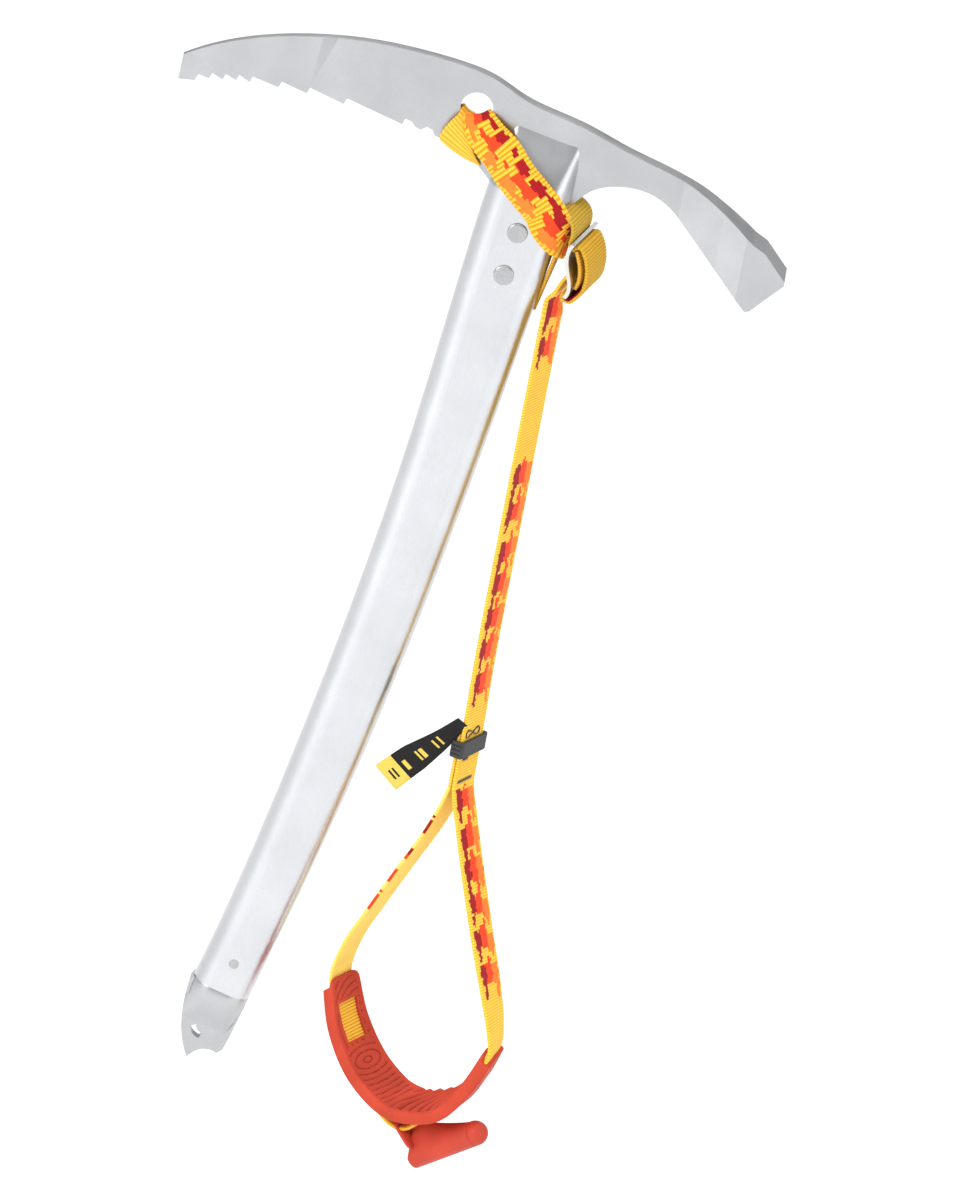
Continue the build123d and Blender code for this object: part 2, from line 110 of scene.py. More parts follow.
def new_material(name):
    """A node material, its shader, and a shorthand for adding nodes with their links and settings."""
    mat = bpy.data.materials.new(name)
    mat.use_nodes = True
    nodes, links = mat.node_tree.nodes, mat.node_tree.links
    shader = nodes["Principled BSDF"]

    def add(kind, links_in=None, **settings):
        node = nodes.new("ShaderNode" + kind)
        for key, value in settings.items():
            if hasattr(node, key):
                setattr(node, key, value)
            else:
                node.inputs[key.replace("_", " ")].default_value = value
        for socket, source in (links_in or {}).items():
            links.new(source, node.inputs[socket])
        return node

    return mat, shader, add, links


def noise(add, vector, scale, detail):
    return add("TexNoise", {"Vector": vector}, Scale=scale, Detail=detail).outputs["Fac"]


def vary_roughness(add, links, shader, source, low, high):
    links.new(add("MapRange", {"Value": source}, To_Min=low, To_Max=high).outputs[0], shader.inputs["Roughness"])


def tune(shader, **settings):
    """Sets the shader's inputs by name."""
    for key, value in settings.items():
        shader.inputs[key.replace("_", " ")].default_value = value


def bump(add, links, shader, height, strength, distance, chain=None):
    """A bump node on the shader's normal; returns it so that a second one can follow."""
    node = add("Bump", {"Height": height}, Strength=strength, Distance=distance)
    if chain:
        links.new(chain.outputs["Normal"], node.inputs["Normal"])
    links.new(node.outputs["Normal"], shader.inputs["Normal"])
    return node


YARN_PITCH = 0.62
METAL_GRAIN = 0.00003   # how deep the brushing is, in metres


def webbing_material(name, valley_shade, sheen=0.06, roughness=0.68):
    """Woven polyester: the face colours, darker valleys between the ribs as painted shade, fine yarns and fibre noise.
    """
    mat, shader, add, links = new_material(name)
    paint = add("Attribute", attribute_name="paint")
    rib = add("Attribute", attribute_name="rib")
    weave = add("Attribute", attribute_name="weave")
    split = add("SeparateXYZ", {0: weave.outputs["Vector"]})
    # painted shade: between the ribs the face colour is multiplied by the valley colour, by the rib attribute's share
    dark = add("Mix", data_type="RGBA", blend_type="MULTIPLY")
    dark.inputs[0].default_value = 1.0
    links.new(paint.outputs["Color"], dark.inputs[6])
    dark.inputs[7].default_value = (*valley_shade, 1)
    deep = add("Mix", data_type="RGBA")
    links.new(rib.outputs["Fac"], deep.inputs[0])
    links.new(dark.outputs[2], deep.inputs[6])
    links.new(paint.outputs["Color"], deep.inputs[7])
    # yarns run along the webbing and cross each rib
    yarn_phase = add("Math", {0: split.outputs["Y"]}, operation="MULTIPLY")
    yarn_phase.inputs[1].default_value = 2 * math.pi / YARN_PITCH
    yarn = add("Math", {0: yarn_phase.outputs[0]}, operation="SINE")
    fibre = noise(add, weave.outputs["Vector"], 2.4, 4.0)
    blotch = noise(add, weave.outputs["Vector"], 0.16, 2.0)
    tone = add("MapRange", {"Value": fibre}, To_Min=0.86, To_Max=1.10)
    wide = add("MapRange", {"Value": blotch}, To_Min=0.93, To_Max=1.06)
    both = add("Math", {0: tone.outputs[0], 1: wide.outputs[0]}, operation="MULTIPLY")
    coloured = add("VectorMath", {0: deep.outputs[2]}, operation="SCALE")
    links.new(both.outputs[0], coloured.inputs["Scale"])
    links.new(coloured.outputs[0], shader.inputs["Base Color"])
    vary_roughness(add, links, shader, fibre, roughness - 0.1, roughness + 0.12)
    first = bump(add, links, shader, yarn.outputs[0], 0.35, 0.00007)
    bump(add, links, shader, fibre, 0.5, 0.00010, first)
    tune(shader, Sheen_Weight=sheen, Sheen_Roughness=0.45, Specular_IOR_Level=0.14)
    return mat


def moulded_material(name, colour, groove_shade_colour, roughness, grain=0.00004, spot=0.12, specular=0.22):
    """Moulded rubber or plastic with a fine sandy grain; grooves get painted shade where a mesh marks them."""
    mat, shader, add, links = new_material(name)
    place = add("TexCoord").outputs["Object"]
    fine = noise(add, place, 2600.0, 3.0)
    soft = noise(add, place, 70.0, 4.0)
    low = tuple(c * (1 - spot) for c in colour)
    high = tuple(min(1.0, c * (1 + spot)) for c in colour)
    ramp = add("ValToRGB", {"Fac": soft})
    first, last = ramp.color_ramp.elements
    first.position, last.position = 0.3, 0.72
    first.color, last.color = (*low, 1), (*high, 1)
    shade_mark = add("Attribute", attribute_name="groove_shade")    # painted shade in the grooves; 0 on a mesh that has no grooves
    mix = add("Mix", data_type="RGBA")
    links.new(shade_mark.outputs["Fac"], mix.inputs[0])
    links.new(ramp.outputs["Color"], mix.inputs[6])
    mix.inputs[7].default_value = (*groove_shade_colour, 1)
    links.new(mix.outputs[2], shader.inputs["Base Color"])
    vary_roughness(add, links, shader, soft, roughness - 0.07, roughness + 0.09)
    bump(add, links, shader, fine, 0.45, grain)
    tune(shader, Specular_IOR_Level=specular)
    return mat


def metal_material(name, colour, roughness, stretch, grain, wear=0.18):
    """Satin metal: fine directional brushing, slow tone changes and faint handling marks."""
    mat, shader, add, links = new_material(name)
    place = add("TexCoord").outputs["Object"]
    turned = add("Mapping", {"Vector": place})
    turned.inputs["Scale"].default_value = stretch
    brushed = noise(add, turned.outputs[0], 900.0, 5.0)
    slow = noise(add, place, 38.0, 5.0)
    marks = noise(add, place, 420.0, 2.0)
    mixed = add("Math", {0: brushed, 1: slow}, operation="MULTIPLY")
    tone = add("MapRange", {"Value": mixed.outputs[0]}, From_Min=0.12, From_Max=0.42, To_Min=1 - wear, To_Max=1.04)
    base = add("VectorMath", operation="SCALE")
    base.inputs[0].default_value = colour
    links.new(tone.outputs[0], base.inputs["Scale"])
    links.new(base.outputs[0], shader.inputs["Base Color"])
    vary_roughness(add, links, shader, slow, roughness - 0.08, roughness + 0.12)
    first = bump(add, links, shader, brushed, grain, METAL_GRAIN)
    bump(add, links, shader, marks, 0.12, METAL_GRAIN, first)
    tune(shader, Metallic=1.0)
    return mat


def thread_material(name, colour):
    """Sewing thread with a fine twist."""
    mat, shader, add, links = new_material(name)
    place = add("TexCoord").outputs["Object"]
    twist = add("TexWave", {"Vector": place}, Scale=900.0, Distortion=1.5)
    ramp = add("ValToRGB", {"Fac": twist.outputs["Fac"]})
    first, last = ramp.color_ramp.elements
    first.color = (*[c * 0.55 for c in colour], 1)
    last.color = (*[min(1, c * 1.5) for c in colour], 1)
    links.new(ramp.outputs["Color"], shader.inputs["Base Color"])
    bump(add, links, shader, twist.outputs["Fac"], 0.5, 0.00008)
    tune(shader, Roughness=0.7, Sheen_Weight=0.3)
    return mat


WEBBING = webbing_material("webbing_decorated", (0.78, 0.36, 0.10))
WEBBING_PLAIN = webbing_material("webbing_plain", (0.80, 0.48, 0.18))
LABEL_CLOTH = webbing_material("label_cloth", (0.7, 0.7, 0.7), sheen=0.05, roughness=0.7)
STEEL = metal_material("forged_steel", (0.50, 0.51, 0.525), 0.34, (1, 1, 14), grain=0.22)
ALLOY = metal_material("shaft_alloy", (0.61, 0.625, 0.65), 0.30, (9, 9, 0.5), grain=0.28, wear=0.12)
RIVET = metal_material("rivet_steel", (0.44, 0.45, 0.46), 0.28, (1, 1, 1), grain=0.15)
BUCKLE_STEEL = metal_material("buckle_steel", (0.62, 0.61, 0.58), 0.24, (1, 8, 1), grain=0.12, wear=0.10)
CRADLE_RED = moulded_material("cradle_rubber", (0.520, 0.060, 0.031), (0.20, 0.012, 0.008), 0.6, specular=0.10)
TOGGLE_RED = moulded_material("grip_plastic", (0.500, 0.052, 0.028), (0.25, 0.02, 0.012), 0.44, grain=0.00003)
KEEPER_GREY = moulded_material("keeper_plastic", (0.042, 0.042, 0.042), (0.02, 0.02, 0.02), 0.48, spot=0.2)
BLACK_THREAD = thread_material("thread", (0.020, 0.019, 0.018))

# ---- meshes


def make_object(name, verts, faces, material, body, slot, replaces=()):
    """A mesh in millimetres becomes a piece that rides on a body; blended pieces pass no body. It stands for the
    CAD part of its own name, or for the parts in replaces."""
    mesh = bpy.data.meshes.new(name)
    mesh.from_pydata([tuple(c * MM for c in v) for v in verts], [], faces)
    mesh.validate()
    mesh.polygons.foreach_set("use_smooth", [True] * len(mesh.polygons))
    obj = bpy.data.objects.new(name, mesh)
    show(obj)
    mesh.materials.append(material)
    replaces = replaces or [name]
    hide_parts(*replaces)
    if body:
        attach(obj, body)
    return obj


def attribute(obj, name, values, kind="FLOAT"):
    """A value for each vertex. weave holds places along, across and through the cloth, in millimetres."""
    layer = obj.data.attributes.new(name, kind, "POINT")
    layer.data.foreach_set("value" if kind == "FLOAT" else "vector", np.asarray(values, np.float32).reshape(-1))


def paint_faces(obj, table):
    """One colour for each face, the yarn's or a copy of it with painted shade or light, held on its corners."""
    data = []
    for polygon, colour in zip(obj.data.polygons, table):
        data.extend((*colour, 1.0) * polygon.loop_total)
    layer = obj.data.color_attributes.new("paint", "FLOAT_COLOR", "CORNER")
    layer.data.foreach_set("color", np.asarray(data, np.float32))


def ramp_up(value):
    return min(max(value, 0.0), 1.0)


def smooth_rows(controls, step):
    """Evenly spaced rows on a smooth curve through the control rows, whose first three numbers are a place."""
    c = np.array(controls, float)
    knots = np.concatenate([[0], np.cumsum(np.linalg.norm(np.diff(c[:, :3], axis=0), axis=1))])
    slopes = np.gradient(c, knots, axis=0)
    fine = np.linspace(0, knots[-1], 50 * len(c))
    i = np.clip(np.searchsorted(knots, fine, side="right") - 1, 0, len(c) - 2)
    h = (knots[i + 1] - knots[i])[:, None]
    u = (fine - knots[i])[:, None] / h
    rows = ((2 * u**3 - 3 * u**2 + 1) * c[i] + (u**3 - 2 * u**2 + u) * h * slopes[i]
            + (3 * u**2 - 2 * u**3) * c[i + 1] + (u**3 - u**2) * h * slopes[i + 1])
    length = np.concatenate([[0], np.cumsum(np.linalg.norm(np.diff(rows[:, :3], axis=0), axis=1))])
    count = max(2, round(length[-1] / step))
    at = np.linspace(0, length[-1], count + 1)
    return at, np.stack([np.interp(at, length, rows[:, k]) for k in range(rows.shape[1])], axis=1)


def band_axes(controls, step, oblique=False):
    """Smooth rows with the directions across and out of the band, square to its run unless it is oblique."""
    at, rows = smooth_rows(controls, step)
    across = rows[:, 3:6]
    tangent = np.gradient(rows[:, :3], at, axis=0)
    tangent /= np.linalg.norm(tangent, axis=1)[:, None]
    if not oblique:
        across = across - tangent * np.sum(across * tangent, axis=1)[:, None]
    across /= np.linalg.norm(across, axis=1)[:, None]
    normal = np.cross(tangent, across)
    normal /= np.linalg.norm(normal, axis=1)[:, None]
    return at, rows, across, normal


def row(place, across, half=WEB / 2, cup=0.0):
    """One control row of a band of webbing; cup lifts its two edges along the decorated side's normal."""
    across = Vector(across).normalized()
    return (*place, *across, half, cup)


TOP_COLUMNS = 24        # steps across the decorated side, the other side and each selvedge
LOW_COLUMNS = 12
EDGE_STEPS = 3
EDGE_LIFT = 0.45        # how much of the ribs' relief the selvedges take
RIB_ROOM = 0.1          # the section is thinner than the webbing by this, to leave room for the ribs
RIB_ROUNDING = 0.7      # below 1, ribs are wide and the valleys between them narrow
EDGE_SCALLOP = 0.30     # how far the ribs swell the selvedges, as a share of their depth
MIDDLE_HOLLOW = 0.05
MARK_RISE = 0.75        # woven marks lie this share of the ribs' relief proud, and take painted shade between ribs, but never darker than this
MARK_SHADE = 0.86       # and are never darker than this between ribs
SIDE_SHIFT = 3.0        # keeps the fibre noise apart on the two sides


def band_section(thickness):
    """The closed section of webbing. Each point has its share of the half width, extra width, height, how much the
    ribs lift it, its share of the width for the marks, and its side: 1 decorated, -1 the other, 0 a selvedge."""
    edge = thickness / 2
    ring = []
    for k in range(TOP_COLUMNS + 1):
        a = -1 + 2 * k / TOP_COLUMNS
        ring.append((a, 0.0, edge, 1.0, (a + 1) / 2, 1))
    for k in range(1, EDGE_STEPS + 1):
        angle = math.pi / 2 - math.pi * k / (EDGE_STEPS + 1)
        ring.append((1, edge * math.cos(angle), edge * math.sin(angle), EDGE_LIFT, 1, 0))
    for k in range(LOW_COLUMNS + 1):
        a = 1 - 2 * k / LOW_COLUMNS
        ring.append((a, 0.0, -edge, -1.0, (a + 1) / 2, -1))
    for k in range(1, EDGE_STEPS + 1):
        angle = -math.pi / 2 - math.pi * k / (EDGE_STEPS + 1)
        ring.append((-1, edge * math.cos(angle), edge * math.sin(angle), EDGE_LIFT, 0, 0))
    return np.array(ring)


def webbing(name, controls, body, seed, replaces=(), paint=None, back_paint=None, edge_paint=None, rib=RIB,
            rows_per_rib=4, relief=0.17, thickness=WEB_T, base=YELLOW, material=None, sway=0.12, valley_shade=0.25,
            oblique=False):
    """A band of ribbed webbing along smooth control rows. paint(s, a) gives a colour or None on the decorated
    side, for a length s along the band and a share a of its width; back_paint and edge_paint do so on the other
    side and on the selvedges. base is the yarn's colour, a copy of it with painted shade or light, or a function
    like paint for painted shade that changes along the band. relief is the height of the ribs and valley_shade the
    painted shade between them, from 0 for dark. sway is how far the band strays sideways, at random by its seed.
    Oblique ribs follow the control rows instead of crossing squarely."""
    at, rows, across, normal = band_axes(controls, rib / rows_per_rib, oblique)
    place, half, cup = rows[:, :3], rows[:, 6], rows[:, 7]
    rng = np.random.default_rng(seed)
    drift = np.interp(at, np.linspace(0, at[-1], 9), rng.uniform(-sway, sway, 9))
    place = place + across * drift[:, None] * np.sin(np.pi * at / at[-1])[:, None]
    ring = band_section(thickness - RIB_ROOM)
    phase = at / rib
    lift = (0.5 - 0.5 * np.cos(2 * np.pi * phase)) ** RIB_ROUNDING
    n, m = len(at), len(ring)
    painted = np.zeros((n, m), bool)
    s_mid = (np.floor(phase) + 0.5) * rib
    if paint:
        for i in range(n):
            for j in range(TOP_COLUMNS + 1):
                painted[i, j] = paint(s_mid[i], ring[j, 4]) is not None
    grow = ring[None, :, 3] * relief * lift[:, None]
    grow = np.where(painted, relief * MARK_RISE, grow)
    edge = ring[None, :, 1] * (1 + EDGE_SCALLOP * (lift[:, None] - 0.5))
    # woven webbing is thickest a little inside its selvedges
    hollow = MIDDLE_HOLLOW * np.cos(ring[None, :, 0] * math.pi / 2) * np.sign(ring[None, :, 3])
    wide = ring[None, :, 0] * (half[:, None] - thickness / 2) + edge
    high = ring[None, :, 2] + grow - hollow + cup[:, None] * ring[None, :, 0] ** 2
    points = place[:, None, :] + across[:, None, :] * wide[..., None] + normal[:, None, :] * high[..., None]
    verts = points.reshape(-1, 3)
    faces = [((i + 1) * m + j, (i + 1) * m + (j + 1) % m, i * m + (j + 1) % m, i * m + j)
             for i in range(n - 1) for j in range(m)]
    faces += [tuple(range(m)), tuple((n - 1) * m + j for j in reversed(range(m)))]
    obj = make_object(name, verts, faces, material or (WEBBING if paint else WEBBING_PLAIN), body, "webbing", replaces)
    # painted shade between the ribs, kept in the rib attribute; woven marks take only a little of it
    shade = np.where(painted, MARK_SHADE + (1 - MARK_SHADE) * lift[:, None], valley_shade + (1 - valley_shade) * lift[:, None])
    attribute(obj, "rib", shade.reshape(-1))
    weave = np.stack([np.repeat(at, m), wide.reshape(-1), np.tile(ring[:, 5] * SIDE_SHIFT, n)], axis=1)
    attribute(obj, "weave", weave, "FLOAT_VECTOR")
    table = []
    for i in range(n - 1):
        s = (math.floor((at[i] + rib / rows_per_rib / 2) / rib) + 0.5) * rib
        for j in range(m):
            side = ring[j, 5]
            a = (ring[j, 4] + ring[(j + 1) % m, 4]) / 2
            found = None
            if paint and side == 1 and j < TOP_COLUMNS:
                found = paint(s, a)
            elif back_paint and side == -1:
                found = back_paint(s, a)
            elif edge_paint and side == 0:
                found = edge_paint(s, a)
            table.append(found or (base(s, a) if callable(base) else base))
    paint_faces(obj, table + [table[0], table[-1]])
    return obj


# dark red, red and orange: place across the webbing, half width, and the range of half lengths, as shares of
# the width and of the pitch
PATCHES = ((0.21, 0.155, 0.30, 0.44), (0.48, 0.215, 0.24, 0.38), (0.78, 0.20, 0.26, 0.42))
WOBBLES = 400


def flame_marks(seed, zones, pitch, flip=False, size=1.0):
    """A generic woven decoration: flame-like marks, dark red at one edge, red in the middle, orange at the other.
    zones are the decorated lengths; each mark is three blunt patches side by side, with loose tongues."""
    rng = random.Random(seed)
    patches = []
    for first, last in zones:
        s = first + pitch * 0.4
        while s < last - pitch * 0.3:
            slant = rng.uniform(-0.1, 0.45) * pitch
            for across, half, low, high in PATCHES:
                at = s + slant * (across - 0.45) + rng.uniform(-0.10, 0.10) * pitch
                patches.append((at, across + rng.uniform(-0.03, 0.03), rng.uniform(low, high) * pitch * size, half))
            # tongues: one drips along the dark edge, the others lick out of the red and the orange
            for side, along in ((rng.uniform(0.15, 0.23), 0.42), (rng.uniform(0.46, 0.62), -0.38), (0.84, 0.40)):
                at = s + along * pitch * rng.uniform(0.9, 1.2)
                patches.append((at, side, rng.uniform(0.16, 0.28) * pitch * size, rng.uniform(0.06, 0.10)))
            s += pitch * rng.uniform(0.94, 1.08)
    wobble = [rng.uniform(-0.035, 0.035) for _ in range(WOBBLES)]

    def paint(s, a):
        k = int(s * 0.9) % WOBBLES
        share = (1 - a if flip else a) + wobble[k]
        if not 0.06 < share < 0.96:
            return None
        for at, across, length, half in patches:
            if abs((s - at) / length) ** 2.6 + abs((share - across) / half) ** 3.2 < 1:
                edge = share + wobble[(k * 7) % WOBBLES] * 0.8
                if edge < 0.36:
                    return DARK_RED
                return RED if edge < 0.66 else ORANGE
        return None

    return paint


# ---- sling


def band_row(s, y, half=9.6):
    """A control row of a band, s along it from the eye and y from the axe's plane."""
    return row(BAND_START + BAND_RUN * s + Vector((0, y, 0)), BAND_ACROSS, half)


# routes in the buckle's own axes, p away from its plane and q along it; SIDE has half widths too
SIDE = ((-9.8, 24.6, 8.6), (-5.2, 25.6, 9.0), (-1.4, 23.4, 9.6),
        (0.7, 19.8, 10), (1.0, 15.0, 10), (0.7, 11.9, 9.9), (1.5, 9.6, 9.9))
BIGHT = ((2.6, 9.2), (4.2, 11.2), (5.9, 11.8), (8.0, 9.6), (10.4, 4.4), (11.4, -2.2), (10.6, -9.4), (8.0, -14.2),
         (4.9, -17.6), (2.9, -17.4), (2.2, -14.2))
BIGHT_MARK = 26.0       # the bight's inside is dark red from here on
FOLD = ((4.2, 9.4), (6.2, 5.0), (7.7, -0.6), (7.9, -5.6), (6.9, -9.6))


def make_sling():
    near = HEAD_SIDE + WEB_T / 2
    front = [
        row((0.8, 2.6, -6.9), (0.97, 0, 0.24), 5.4, 0.8),
        row((0.8, -0.6, -4.4), (0.97, 0, 0.20), 6.1, 1.9),
        row((2.0, -4.2, -4.9), (0.97, 0, 0.27), 7.2, 1.3),
        row((4.3, -6.4, -7.6), (0.88, 0, 0.46), 8.3, 0.4),
        row((8.2, -7.6, -11.8), (0.76, 0, 0.64), 9.2),
        band_row(11.0, -9.6, 9.7),
        band_row(20.0, -BAND_Y),
        band_row(32.0, -BAND_Y - 0.1),
        band_row(43.5, -BAND_Y),
        row((42.4, -12.9, -44.6), (0.61, 0, 0.79), 9.8),
        row((45.7, -10.8, -48.8), (0.46, 0.03, 0.89), 9.4),
        row((48.7, -7.4, -51.8), (0.25, 0.06, 0.97), 9.3),
        row((51.4, -2.4, -53.5), (0.04, 0.10, 0.99), 9.3),
    ]
    upper = flame_marks(11, [(0, 50)], 17.0, flip=True, size=0.62)
    lower = flame_marks(12, [(43, 92)], 17.6, flip=True, size=0.76)

    def marks(s, a):
        return upper(s, a) or lower(s, a)

    webbing("sling_front_band", front, "axe", 3, base=BAND_YELLOW, paint=marks, rib=WIDE_RIB, rows_per_rib=6,
            relief=0.36, sway=0.1, valley_shade=0.0)
    back = [
        row((0.8, -2.4, -7.6), (0.97, 0, 0.2), 4.6),
        row((0.9, 1.2, -6.4), (0.97, 0, 0.2), 5.0),
        row((2.2, 4.8, -6.6), (0.96, 0, 0.28), 6.6),
        row((4.6, 6.8, -8.4), (0.88, 0, 0.46), 7.9),
        row((8.6, 7.8, -11.8), (0.76, 0, 0.64), 9.0),
        band_row(11.0, 9.6, 9.4),
        band_row(20.0, BAND_Y),
        band_row(32.0, BAND_Y + 0.1),
        band_row(43.5, BAND_Y),
        band_row(50.0, BAND_Y - 1.4),
        band_row(54.5, BAND_Y - 5.0),
        band_row(56.5, BAND_Y - 9.5),
    ]
    webbing("sling_back_band", back, "axe", 4, base=YELLOW_PLAIN, sway=0.1)
    lobe_half = [
        row((-3.6, 1.8, -5.9), (0.88, 0, -0.40), 2.9, 0.4),
        row((-3.9, -1.2, -3.5), (0.86, 0, -0.50), 3.6, 0.6),
        row((-4.1, -near - 0.7, -6.3), (0.80, 0, -0.60), 4.6),
        row((-4.8, -near - 1.5, -10.2), (0.76, 0, -0.65), 6.4),
        row((-4.4, -near - 1.4, -15.6), (0.80, 0, -0.60), 9.5),
        row((-4.0, -near - 0.9, -19.7), (0.88, 0, -0.47), 11.2, -0.2),
        row((-3.9, -near + 0.6, -22.0), (0.91, 0, -0.41), 11.2, -0.7),
        row((-3.9, -1.6, -23.1), (0.92, 0, -0.39), 11.1, -1.3),
    ]
    lobe = lobe_half + [(x, -y, z, *rest) for x, y, z, *rest in reversed(lobe_half)]

    def lobe_painted_shade(s, a):
        """Painted shade: duller where the webbing comes out of the eye, most of all at its inner edge."""
        shade = ramp_up(1 - abs(s - 5.0) / 9.0) * (1 - 0.4 * a)
        return tuple(c * (1 - shade * k) for c, k in zip(LOBE_YELLOW, (0.16, 0.34, 0.6)))

    webbing("sling_lobe", lobe, "axe", 5, base=lobe_painted_shade, relief=0.34, rib=WIDE_RIB, rows_per_rib=6, sway=0.0,
            valley_shade=0.1, oblique=True)
    side = [row(buckle(p, q), BUCKLE_B, half) for p, q, half in SIDE]
    webbing("sling_side_band", side, "axe", 6, base=SIDE_SHADED_YELLOW, relief=0.26, rib=BUCKLE_RIB, valley_shade=0.1)
    tail = [
        row((49.2, -0.4, -53.5), (0.17, 0.98, 0.04), 8.0),
        row((47.6, 0.2, -62.5), (0.15, 0.99, 0.02), 7.6),
        row((45.0, 1.2, -75.4), (0.12, 0.99, 0.02), 6.4),
        row((42.3, 2.2, -89.0), (0.08, 0.99, 0.02), 5.0),
    ]
    webbing("sling_tail", tail, "axe", 7, base=TAIL_SHADED_YELLOW, thickness=1.5, sway=0.05)


def buckle_rows(points, half):
    """Control rows from places in the buckle's own axes."""
    return [row(buckle(*point), BUCKLE_B, half) for point in points]


def make_buckle_webbing():
    webbing("bight", buckle_rows(BIGHT, 10), "axe", 8, base=BIGHT_SHADED_YELLOW, relief=0.28, rib=BUCKLE_RIB, valley_shade=0.1,
            back_paint=lambda s, a: DARK_RED if s > BIGHT_MARK else None)
    webbing("bight_fold", buckle_rows(FOLD, 9.8), "axe", 9, base=FOLD_SHADED_YELLOW, relief=0.24, valley_shade=0.05)


# ---- leash

# LIFT is in the buckle's axes (p, q, b) and the rest in the leash's plane (t, z, twist in degrees)
LIFT = ((2.6, -4.8, 0.0), (0.9, -7.6, 0.0), (-0.5, -11.5, -0.6), (-1.7, -15.8, -2.0), (-2.7, -20.0, -4.4))
STRAP = ((4.7, -91.5), (4.6, -100), (4.5, -120), (4.3, -200), (4.3, -262), (4.9, -290), (5.1, -319.2))
RETURN = ((3.1, -291.6), (3.1, -319.2))
RIGHT = ((5.1, -319.0), (6.3, -324.5), (9.6, -334), (14.6, -348.4), (27.6, -383.2), (38.8, -411.5, 3),
         (43.8, -426, 8), (45.6, -437.0, 12), (42.0, -446.5, 12))
LEFT = ((3.1, -319.0), (1.6, -325), (-1.2, -334), (-5.5, -345.3), (-16.2, -368.5), (-26.6, -391.6), (-34.6, -410.6),
        (-37.4, -427.5), (-34.6, -437.5))


def leash_rows(points, half=WEB / 2):
    """Control rows from (t, z) or (t, z, twist), the twist in degrees towards the axe's own plane."""
    return [row(leash(*point[:2]), leash_across(*point[2:]), half) for point in points]


def leash_across(twist=0.0):
    """The webbing's width direction, turned about the vertical."""
    return LEASH_W * math.cos(math.radians(twist)) - LEASH_T * math.sin(math.radians(twist))


def make_leash():
    marks = flame_marks(21, [(16, 58), (97, 217)], 17.1, size=0.9)
    strap = webbing("main_strap", buckle_rows(LIFT, 9.7) + leash_rows(STRAP), None, 12, ["main_strap", "strap_lift"],
                    paint=marks, relief=0.12)
    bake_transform(strap)
    webbing("return_layer", leash_rows(RETURN), "leash", 13, base=YELLOW_PLAIN, relief=0.12)
    right = webbing("right_strand", leash_rows(RIGHT), None, 14, relief=0.12,
                    paint=flame_marks(31, [(1, 100)], 16.5, size=0.9))
    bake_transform(right)
    left_marks = flame_marks(41, [(17, 92)], 15.5, size=0.8)

    def left_edge(s, a):
        """The marks of the hidden side show at the selvedge, dark red above and red below."""
        return left_marks(s, 0.5) and (DARK_RED if s < 40 else RED)

    left = webbing("left_strand", leash_rows(LEFT), None, 15, base=LEFT_LIT_YELLOW, relief=0.10, valley_shade=0.55,
                   back_paint=left_marks, edge_paint=left_edge)
    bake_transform(left)


THREAD_SIDES = 8
ZIGZAG_THREAD = 0.3     # the threads' radii
LOOP_THREAD = 0.36
STRAP_T = 5.1           # middle of the strap's thickness at the keeper
THREAD_LIFT = 0.02      # how far the threads' middles stand off the webbing
LOOP_TACK = (-293.2, -1.6, 1.7, 6.2)    # the double loop's height and place across, and its half height and width
# height, length, middle, height of a stitch, and number of stitches
ZIGZAGS = ((-305.6, 5.0, -4.0, 1.0, 7), (-316.6, 13.0, -1.0, 0.8, 17))
LANE = 0.3              # each zigzag is two lanes, this far above and below its height


def tube(pts, radius):
    """Vertices and faces of a round thread through a line of points."""
    verts, faces = [], []
    sides = THREAD_SIDES
    for i, p in enumerate(pts):
        ahead, behind = pts[min(i + 1, len(pts) - 1)], pts[max(i - 1, 0)]
        along = (ahead - behind).normalized()
        out = along.cross(LEASH_W if abs(along.dot(LEASH_W)) < 0.9 else Vector((0, 0, 1))).normalized()
        other = along.cross(out)
        for k in range(sides):
            angle = 2 * math.pi * k / sides
            verts.append(p + (out * math.cos(angle) + other * math.sin(angle)) * radius)
    for i in range(len(pts) - 1):
        for k in range(sides):
            a, b = i * sides + k, i * sides + (k + 1) % sides
            faces.append((a, b, b + sides, a + sides))
    faces += [tuple(reversed(range(sides))), tuple(len(verts) - sides + k for k in range(sides))]
    return verts, faces


def make_stitches():
    """Black bar tacks on the doubled webbing's decorated face: a double loop above the keeper and zigzags below."""
    verts, faces = [], []
    face_t = STRAP_T + WEB_T / 2 + THREAD_LIFT

    def add_thread(line, radius):
        more, more_faces = tube(line, radius)
        faces.extend(tuple(i + len(verts) for i in f) for f in more_faces)
        verts.extend(more)

    z, middle, high, half = LOOP_TACK
    angles = [2 * math.pi * k / 48 for k in range(49)]
    add_thread([leash(face_t, z + high * math.sin(2 * angle), middle + half * math.cos(angle)) for angle in angles],
               LOOP_THREAD)
    for z, length, middle, high, steps in ZIGZAGS:
        for lane in (-LANE, LANE):
            line = [leash(face_t, z + lane + (high / 2 if k % 2 else -high / 2), middle + length * (k / steps - 0.5))
                    for k in range(steps + 1)]
            add_thread(line, ZIGZAG_THREAD)
    make_object("strap_stitches", verts, faces, BLACK_THREAD, "leash", "thread")


LABEL_ROOT = Vector((45.4, -11.6, -286.4))
LABEL_TIP = Vector((15.8, -8.6, -320.8))
LABEL_SIDE = Vector((0.86, 0.16, -0.49))    # roughly across the label, before its twist
LABEL_HALF = (3.4, 7.4)    # half width at the root, and where it is widest
LABEL_TWIST = (-18, 30)    # degrees at the root, and from there to the tip
LABEL_THICK = 0.45      # half the thickness, and half of it at the sides
LABEL_HEM = 0.12
LABEL_END = 0.80        # yellow from here on, as a share of the length
LABEL_BARS = (0.30, 0.36, 0.52, 0.58, 0.74, 0.88, 0.93)    # plain cross bars, as shares of the length
BAR_ACROSS = Vector((0.77, 0.1, -0.63)).normalized()
BAR_HALF = (0.014, 0.36)   # a bar's half sizes, as shares of the length and of the widest half width


